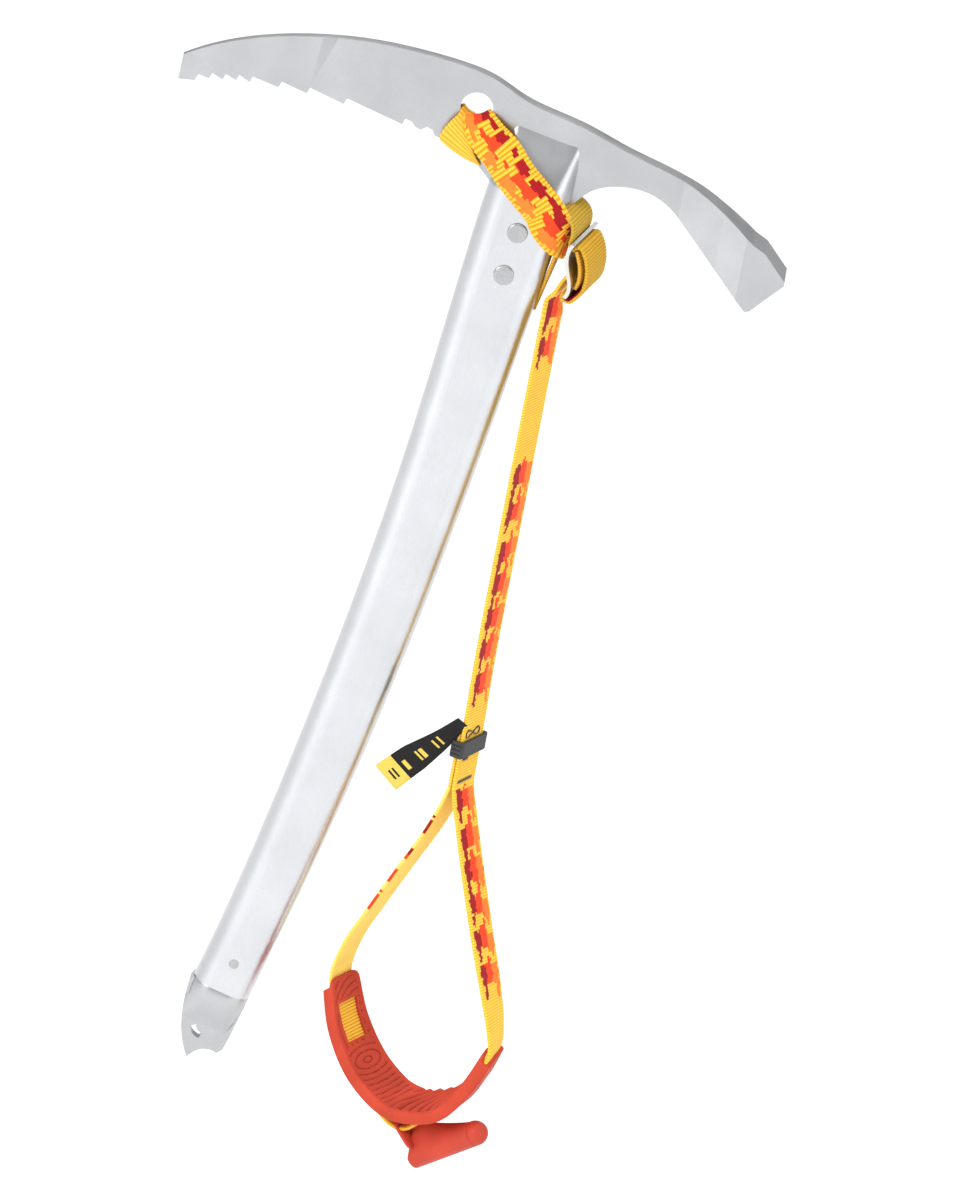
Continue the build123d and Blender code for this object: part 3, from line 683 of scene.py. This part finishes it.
def make_label():
    """A folded cloth tab, black with a yellow end, hanging from the stitching with a slight twist."""
    root = LABEL_ROOT
    rows_n, cols_n = 46, 22
    length = (LABEL_TIP - root).length
    run = (LABEL_TIP - root).normalized()
    verts, faces, table = [], [], []
    for layer in (0, 1):
        for i in range(rows_n + 1):
            u = i / rows_n
            turn = math.radians(LABEL_TWIST[0] + LABEL_TWIST[1] * u)
            half = LABEL_HALF[0] + (LABEL_HALF[1] - LABEL_HALF[0]) * min(1, u * 1.6) ** 0.8
            side = (LABEL_SIDE - run * LABEL_SIDE.dot(run)).normalized()
            out = run.cross(side).normalized()
            across = side * math.cos(turn) + out * math.sin(turn)
            normal = run.cross(across).normalized()
            sag = 1.1 * math.sin(math.pi * u) + 0.5 * math.sin(2.2 * math.pi * u)
            for j in range(cols_n + 1):
                v = -1 + 2 * j / cols_n
                cup = 0.5 * (1 - v * v) * (1 - u)
                thick = LABEL_THICK if 0 < j < cols_n else LABEL_HEM
                high = sag + cup + (thick if layer else -thick)
                verts.append(root + run * (length * u) + across * (half * v) + normal * high)
    m = cols_n + 1
    count = (rows_n + 1) * m
    for i in range(rows_n):
        for j in range(cols_n):
            a = i * m + j
            faces.append((a, a + m, a + m + 1, a + 1))
            faces.append((count + a, count + a + 1, count + a + m + 1, count + a + m))
    # the edges between the two layers: the long sides, then the ends
    for a in range(0, rows_n * m, m):
        b = a + cols_n
        faces += [(a, a + count, a + m + count, a + m), (b + m, b + m + count, b + count, b)]
    for a in range(cols_n):
        b = rows_n * m + a
        faces += [(a, a + 1, a + 1 + count, a + count), (b + count, b + 1 + count, b + 1, b)]
    obj = make_object("label", verts, faces, LABEL_CLOTH, "label", "label_cloth")
    for polygon in obj.data.polygons:
        middle = polygon.center / MM - root
        u = middle.dot(run) / length
        v = middle.dot(BAR_ACROSS) / LABEL_HALF[1]
        on_bar = abs(v) < BAR_HALF[1] and any(abs(u - bar) < BAR_HALF[0] for bar in LABEL_BARS)
        table.append(LABEL_YELLOW if (u > LABEL_END) != on_bar else LABEL_BLACK)
    paint_faces(obj, table)
    attribute(obj, "rib", [0.85 + 0.15 * math.sin(k * 1.7) for k in range(len(verts))])
    attribute(obj, "weave", [((v - root).dot(run), v[0], v[2]) for v in verts], "FLOAT_VECTOR")


# ---- wrist cradle

CRADLE = ((-37.6, -428.0), (-28.2, -450.3), (-12, -468.8), (8, -477.4), (26.6, -471.8, 6), (38.6, -453.2, 12),
          (45.2, -436.2, 14))
HALF_END = 13.0         # half widths, at the ends and in the middle
HALF_MID = 17.0
END_CORNER = 5.0        # radius of the corners in plan
SIDE_ROUND = 0.9        # rounding of the sides
SKIN_IN = 2.8           # the skin's half thicknesses, towards the wrist and away from it
SKIN_OUT = 2.4
LAYER = 0.95            # half the channel that the webbing lies in
RIM = 2.4               # width and height of the raised rim at each side of the inner pad
RIM_RISE = 0.5
LEFT_STEP = 3.6         # the outer wall starts this far below the pad's left end
RIGHT_STEP = (3.4, 0.6)    # and stops this far short of its right end, at the near and the far side
RIGHT_TAPER = 2.2       # how much narrower each side is at the right end,
TAPER_FROM = 26         # from this far before the end, over this length
TAPER_OVER = 22
MIDDLE_THICKER = 0.4    # how much thicker the outer wall is in the middle, and towards the right end
RIGHT_THICKER = 1.0
WALL_FADE = 0.9         # length over which the outer wall stops
FAR_RISE = 3.2          # how far the pad rises at its far side, right of the middle
WINDOW_S = (12.0, 30.6)    # the window's ends along the cradle, its half width and the level of its floor
WINDOW_W = 8.4
WINDOW_FLOOR = -0.9
WINDOW_FRAME = 1.3      # no contour lines come closer to the window than this
ARCS_END = 33           # the arcs' zone ends here along the cradle, and the ovals' zone here
OVALS_END = 67
FADE = 4                # length over which the rim ends and the fan begins


def ripple(s, w):
    """Depth of the moulded contour lines on the pad: arcs round the window, nested ovals across the middle, and a
    fan of proud ridges towards the right end."""
    if s < ARCS_END:
        return contour(math.hypot(s - 25, (w - 9) * 0.95) / 3.6, 0.13, 0.55)
    if s < OVALS_END:
        return contour(math.hypot((s - 42) * 1.4, (w - 0.5) * 0.52) / 3.9, 0.13, 0.6)
    return ramp_up((s - OVALS_END) / FADE) * (contour(math.hypot(s - 106, (w + 9) * 0.95) / 5.0, 0.5, 1.45) - 0.70)


def contour(value, width, depth):
    """A groove in the middle of each whole step of value."""
    return depth * max(0.0, 1 - abs(value % 1.0 - 0.5) / width)


def make_cradle():
    """The moulded cradle as one closed skin: contour lines and a raised rim inside, a window over the webbing,
    and an outer wall that stops short of the pad at both ends, so that the webbing enters between them."""
    at, rows, across, inward = band_axes(leash_rows(CRADLE), 0.5)
    place, total = rows[:, :3], at[-1]
    pad_columns, outer_columns, round_steps = 80, 40, 4
    verts, groove_shade = [], []
    for i, s in enumerate(at):
        half = HALF_END + (HALF_MID - HALF_END) * math.sin(math.pi * s / total) ** 0.8
        half -= RIGHT_TAPER * ramp_up((s - total + TAPER_FROM) / TAPER_OVER)
        end = min(s, total - s)
        if end < END_CORNER:
            half -= END_CORNER - math.sqrt(max(0, END_CORNER**2 - (END_CORNER - end) ** 2))
        skin_out = SKIN_OUT + MIDDLE_THICKER * math.sin(math.pi * s / total)
        skin_out += RIGHT_THICKER * ramp_up((s - total + 45) / 30)

        def outer_at(w):
            """The outer wall's level, or the pad's underside where the wall has stopped."""
            near = (half - w) / (2 * half)
            stop = RIGHT_STEP[1] + (RIGHT_STEP[0] - RIGHT_STEP[1]) * ramp_up(near)
            wall = ramp_up((s - LEFT_STEP) / WALL_FADE) * ramp_up((total - stop - s) / WALL_FADE)
            return LAYER - (LAYER + skin_out) * wall

        def side_arc(sign, high):
            """The rounded side between the pad and the outer wall."""
            low = outer_at(sign * half)
            middle, deep = (high + low) / 2, (high - low) / 2
            for k in range(1, round_steps + 1):
                angle = sign * math.pi / 2 - math.pi * k / (round_steps + 1)
                w = sign * (half - SIDE_ROUND) + SIDE_ROUND * math.cos(angle)
                yield (w, middle + deep * math.sin(angle), 0)

        ring = []
        for k in range(pad_columns + 1):
            w = (-1 + 2 * k / pad_columns) * (half - SIDE_ROUND)
            edge = half - abs(w)
            rim = RIM * (1 - ramp_up((s - OVALS_END) / FADE)) if w > 0 else RIM
            n, shade_mark = SKIN_IN - RIM_RISE * ramp_up((edge - rim) / 0.8), 0.0
            n += FAR_RISE * ramp_up((s - 60) / 20) * (1 - ramp_up((s - 90) / 14)) * (1 + w / half) / 2
            framed = (WINDOW_S[0] - WINDOW_FRAME < s < WINDOW_S[1] + WINDOW_FRAME
                      and abs(w) < WINDOW_W + WINDOW_FRAME)
            # painted shade: the contour grooves are darkened by their depth, and the window's floor by a fixed amount
            if (edge > rim + 1.2 or rim == 0) and 1.6 < s < total - 2 and not framed:
                deep = ripple(s, w)
                n, shade_mark = n - deep, ramp_up(deep * 1.6)
            if WINDOW_S[0] < s < WINDOW_S[1] and abs(w) < WINDOW_W:
                n, shade_mark = WINDOW_FLOOR, 0.6
            ring.append((w, n, shade_mark))
        ring += side_arc(1, ring[-1][1])
        for k in range(outer_columns + 1):
            w = (1 - 2 * k / outer_columns) * (half - SIDE_ROUND)
            ring.append((w, outer_at(w), 0))
        ring += side_arc(-1, SKIN_IN)
        for w, n, shade_mark in ring:
            verts.append(place[i] + across[i] * w + inward[i] * n)
            groove_shade.append(shade_mark)
    m, rows_n = len(ring), len(at)
    faces = [(i * m + j, (i + 1) * m + j, (i + 1) * m + (j + 1) % m, i * m + (j + 1) % m)
             for i in range(rows_n - 1) for j in range(m)]
    faces += [tuple(range(m)), tuple((rows_n - 1) * m + j for j in reversed(range(m)))]
    obj = make_object("cradle", verts, faces, CRADLE_RED, "wrist_loop", "cradle_rubber")
    # the painted shade of the grooves and of the window's floor
    attribute(obj, "groove_shade", np.array(groove_shade) * 0.8)
    webbing("cradle_webbing", leash_rows(CRADLE, 9.4), "wrist_loop", 16, relief=0.42, rib=BUCKLE_RIB,
            material=WEBBING, valley_shade=0.0)


TOGGLE_LOOP = ((-9.5, -473.6), (-7.0, -477.6), (-1.5, -482.6), (4, -485.6), (9.0, -486.4), (13.4, -484.8),
               (16.6, -481.4), (18.6, -477.0))


def make_toggle_loop():
    webbing("toggle_loop", [row(leash(t, z), LEASH_W, 8.0) for t, z in TOGGLE_LOOP], "wrist_loop", 17,
            base=LOOP_SHADED_YELLOW, relief=0.2)


# ---- toggle

TOGGLE_LEFT = Vector((15.8, -499.6))     # ends of the grip's axis, in the leash's plane
TOGGLE_RIGHT = Vector((48.8, -474.8))
TOGGLE_RUN = (TOGGLE_RIGHT - TOGGLE_LEFT).normalized()
TOGGLE_LENGTH = (TOGGLE_RIGHT - TOGGLE_LEFT).length
TOGGLE_R = 5.8
CAP_LENGTH = 7.0
CAP_GAP = 0.12          # half the seam between the grip and its cap
FIN = 9.2               # height of the fin at the left end
FIN_LEAN = 0.55         # how far the fin's top leans to the right, as a share of its height
FIN_PINCH = 0.35        # how much narrower the fin's top is than the grip
GRIP_SIDES = 48


def grip_skin(first, last, steps, dome):
    """Rings of the grip between two lengths along it: round below, drawn up into a fin above, and domed at the end."""
    up = Vector((-TOGGLE_RUN.y, TOGGLE_RUN.x))
    rings = []
    for i in range(steps + 1):
        s = first + (last - first) * i / steps
        radius = TOGGLE_R
        if dome and TOGGLE_LENGTH - s < TOGGLE_R:
            radius = math.sqrt(max(0.02, TOGGLE_R**2 - (TOGGLE_R - (TOGGLE_LENGTH - s)) ** 2))
        share = ramp_up((TOGGLE_LENGTH - CAP_LENGTH - s) / (TOGGLE_LENGTH - CAP_LENGTH))
        fin = FIN * share**1.1
        ring = []
        for k in range(GRIP_SIDES):
            angle = 2 * math.pi * k / GRIP_SIDES
            rise = max(0.0, math.sin(angle)) ** 3
            w = radius * math.cos(angle) * (1 - FIN_PINCH * share * rise)
            h = radius * math.sin(angle) + fin * rise
            lean = FIN_LEAN * max(h, 0) * share
            c = TOGGLE_LEFT + TOGGLE_RUN * (s + lean) + up * h
            ring.append(leash(c.x, c.y, w))
        rings.append(ring)
    return rings


def skin_faces(rings):
    """Vertices and faces of a closed skin over rings of equal count."""
    m = len(rings[0])
    verts = [p for ring in rings for p in ring]
    faces = [(i * m + (k + 1) % m, i * m + k, (i + 1) * m + k, (i + 1) * m + (k + 1) % m)
             for i in range(len(rings) - 1) for k in range(m)]
    faces.append(tuple(range(m)))
    faces.append(tuple((len(rings) - 1) * m + k for k in reversed(range(m))))
    return verts, faces


TAB_HALF = 8.8          # half width, to the near and the far edge
TAB_ENDS = (-3.6, 9.6)  # the tab's and the slot's ends along the tab, from where it hangs
TAB_SLOT = (-2.5, 1.7)
TAB_CORNER = 2.0
TAB_T = 1.7
TAB_MEAN = 8.0          # an inset shrinks the outline by its share of this
SLOT_SIDE = 1.4         # what is left of the tab beside the slot
SLOT_POWER = 5          # the slot is a superellipse, nearly a rectangle
PIVOT = Vector((9.8, -486.8))
TAB_RUN = Vector((0.735, -0.678)).normalized()


def make_tab():
    """The flat tab that hangs on the toggle's loop: rounded corners, broken edges and a slot for the webbing."""
    w, (low, high) = TAB_HALF - TAB_CORNER, (TAB_ENDS[0] + TAB_CORNER, TAB_ENDS[1] - TAB_CORNER)
    rim, slot = [], []
    for centre_w, centre_s, first in ((w, high, 0), (-w, high, 90), (-w, low, 180), (w, low, 270)):
        for k in range(7):
            angle = math.radians(first + 15 * k)
            rim.append((centre_w + TAB_CORNER * math.cos(angle), centre_s + TAB_CORNER * math.sin(angle)))
    half_w, half_s, mid_s = TAB_HALF - SLOT_SIDE, (TAB_SLOT[1] - TAB_SLOT[0]) / 2, sum(TAB_SLOT) / 2
    for w, along in rim:
        angle = math.atan2((along - mid_s) / half_s, w / half_w)
        reach = (abs(math.cos(angle)) ** SLOT_POWER + abs(math.sin(angle)) ** SLOT_POWER) ** (-1 / SLOT_POWER)
        slot.append((half_w * reach * math.cos(angle), mid_s + half_s * reach * math.sin(angle)))
    normal = Vector((-TAB_RUN.y, TAB_RUN.x))
    loops = []
    # outline, how far its edge is broken, and its level as a share of the thickness
    for line, inset, depth in ((rim, 0.45, 0.5), (rim, 0.0, 0.28), (rim, 0.0, -0.28), (rim, 0.45, -0.5),
                               (slot, -0.35, -0.5), (slot, 0.0, -0.28), (slot, 0.0, 0.28), (slot, -0.35, 0.5)):
        loop = []
        for w, along in line:
            pull = 1 - inset / TAB_MEAN
            c = PIVOT + TAB_RUN * (mid_s + (along - mid_s) * pull) + normal * (depth * TAB_T)
            loop.append(leash(c.x, c.y, w * pull))
        loops.append(loop)
    n = len(rim)
    verts = [p for loop in loops for p in loop]
    faces = [(a * n + k, a * n + (k + 1) % n, b * n + (k + 1) % n, b * n + k)
             for a in range(len(loops)) for b in [(a + 1) % len(loops)] for k in range(n)]
    make_object("toggle_tab", verts, faces, TOGGLE_RED, "toggle", "grip_plastic")


def make_toggle():
    seam = TOGGLE_LENGTH - CAP_LENGTH
    grip = grip_skin(0.0, seam - CAP_GAP, 40, False)
    # the hollow left end: the skin turns in and runs down the bore
    centre = sum(grip[0], Vector()) / GRIP_SIDES
    mouth = [[centre + (p - centre) * shrink for p in grip[0]] for shrink in (0.62, 0.70, 0.92)]
    bore = [[p + LEASH_T * 7.0 + Vector((0, 0, 5.4)) for p in mouth[0]]]
    cap = grip_skin(seam + CAP_GAP, TOGGLE_LENGTH, 22, True)
    for name, rings in (("toggle", bore + mouth + grip), ("toggle_cap", cap)):
        make_object(name, *skin_faces(rings), TOGGLE_RED, "toggle", "grip_plastic")


# ---- hard parts carried over from the CAD

SAME_PLACE = 2e-6       # vertices closer than this are welded, in metres
BEVEL_ANGLE = math.radians(28)
BEVEL_STEPS = 3


def dress(node, material, bevel):
    """A CAD part keeps its shape; a bevel in millimetres breaks its edges and the material gives its finish."""
    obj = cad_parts[node]
    if bevel:
        weld = obj.modifiers.new("weld", "WELD")
        weld.merge_threshold = SAME_PLACE
        edge = obj.modifiers.new("edge_break", "BEVEL")
        edge.width = bevel * MM
        edge.segments = BEVEL_STEPS
        edge.limit_method = "ANGLE"
        edge.angle_limit = BEVEL_ANGLE
    obj.data.materials.clear()
    obj.data.materials.append(material)


def dress_hard_parts():
    dress("head", STEEL, 0.45)
    dress("shaft", ALLOY, 0)
    dress("spike", STEEL, 0.4)
    dress("head_rivets", RIVET, 0)
    dress("spike_pin", RIVET, 0.25)
    dress("buckle", BUCKLE_STEEL, 0.3)
    dress("keeper", KEEPER_GREY, 0.35)


# ---- stage, light and camera

CAMERA_ROLL = math.radians(10.8)
CAMERA_RISE = math.radians(20)
TARGET = Vector((42.67, 0, -231.6)) * MM
VIEW_HEIGHT = 0.542     # what the picture's height covers at the target, in metres
DISTANCE = 12.0         # far away, so that the view is nearly parallel
SENSOR = 24.0
FLOOR_Z = -0.60
FLOOR_HALF = 14.0
# the sky's grey by height: white above and below, grey round the horizon, so that satin metal shows its edges
SKY = ((0.0, 1.0), (0.44, 0.95), (0.50, 0.40), (0.60, 0.36), (0.72, 0.9), (1.0, 1.1))
# place, size and power
LIGHTS = {
    "key": ((-1.5, -1.9, 0.7), 1.1, 34),
    "fill": ((1.9, -1.6, -0.1), 1.4, 14),
    "top": ((0.2, -0.2, 2.2), 2.0, 26),
}


def plain_material(name, colour):
    """A matt surface with hardly any pattern, for the floor."""
    mat, shader, add, links = new_material(name)
    place = add("TexCoord").outputs["Object"]
    tone = add("MapRange", {"Value": noise(add, place, 3.0, 3.0)}, To_Min=0.985, To_Max=1.0)
    base = add("VectorMath", operation="SCALE")
    base.inputs[0].default_value = colour
    links.new(tone.outputs[0], base.inputs["Scale"])
    links.new(base.outputs[0], shader.inputs["Base Color"])
    tune(shader, Roughness=0.9, Specular_IOR_Level=0.1)
    return mat


def make_stage():
    """A wide pale floor under the hanging axe."""
    corners = ((-1, -1), (1, -1), (1, 1), (-1, 1))
    mesh = bpy.data.meshes.new("floor")
    mesh.from_pydata([(x * FLOOR_HALF, y * FLOOR_HALF, FLOOR_Z) for x, y in corners], [], [(0, 1, 2, 3)])
    mesh.materials.append(plain_material("pale_floor", (0.97, 0.97, 0.97)))
    floor = bpy.data.objects.new("floor", mesh)
    show(floor)


def make_light(name, place, size, power):
    """A square lamp aimed at the middle of the axe."""
    data = bpy.data.lights.new(name, "AREA")
    data.shape = "RECTANGLE"
    data.size = data.size_y = size
    data.energy = power
    lamp = bpy.data.objects.new(name, data)
    lamp.location = place
    lamp.rotation_mode = "QUATERNION"
    lamp.rotation_quaternion = (TARGET - Vector(place)).to_track_quat("-Z", "Y")
    show(lamp)


def make_lights():
    world = bpy.data.worlds.new("studio")
    world.use_nodes = True
    nodes, links = world.node_tree.nodes, world.node_tree.links
    place = nodes.new("ShaderNodeTexCoord")
    split = nodes.new("ShaderNodeSeparateXYZ")
    height = nodes.new("ShaderNodeMapRange")
    height.inputs["From Min"].default_value = -1.0
    ramp = nodes.new("ShaderNodeValToRGB")
    stops = ramp.color_ramp.elements
    stops.remove(stops[0])
    for k, (at, grey) in enumerate(SKY):
        stop = stops.new(at) if k else stops[0]
        stop.position = at
        stop.color = (grey, grey, grey, 1)
    links.new(place.outputs["Generated"], split.inputs[0])
    links.new(split.outputs["Z"], height.inputs["Value"])
    links.new(height.outputs[0], ramp.inputs["Fac"])
    links.new(ramp.outputs["Color"], nodes["Background"].inputs["Color"])
    bpy.context.scene.world = world
    for name, (place, size, power) in LIGHTS.items():
        make_light(name, place, size, power)


def make_camera():
    """From 20 degrees above the horizon, rolled so that the leash leans to the left."""
    c, s = math.cos(CAMERA_ROLL), math.sin(CAMERA_ROLL)
    rise = CAMERA_RISE
    right = Vector((c, s * math.sin(rise), s * math.cos(rise)))
    up = Vector((-s, c * math.sin(rise), c * math.cos(rise)))
    back = Vector((0, -math.cos(rise), math.sin(rise)))
    data = bpy.data.cameras.new("camera")
    data.sensor_fit = "VERTICAL"
    data.sensor_height = SENSOR
    data.lens = DISTANCE * data.sensor_height / VIEW_HEIGHT
    data.clip_end = 60
    camera = bpy.data.objects.new("camera", data)
    camera.location = TARGET + back * DISTANCE
    camera.rotation_mode = "QUATERNION"
    camera.rotation_quaternion = Matrix((right, up, back)).transposed().to_quaternion()
    show(camera)
    bpy.context.scene.camera = camera
    bpy.context.scene.view_settings.view_transform = "Standard"


make_camera()
make_stage()
make_lights()
dress_hard_parts()
make_sling()
make_buckle_webbing()
make_leash()
make_stitches()
make_label()
make_cradle()
make_toggle_loop()
make_tab()
make_toggle()
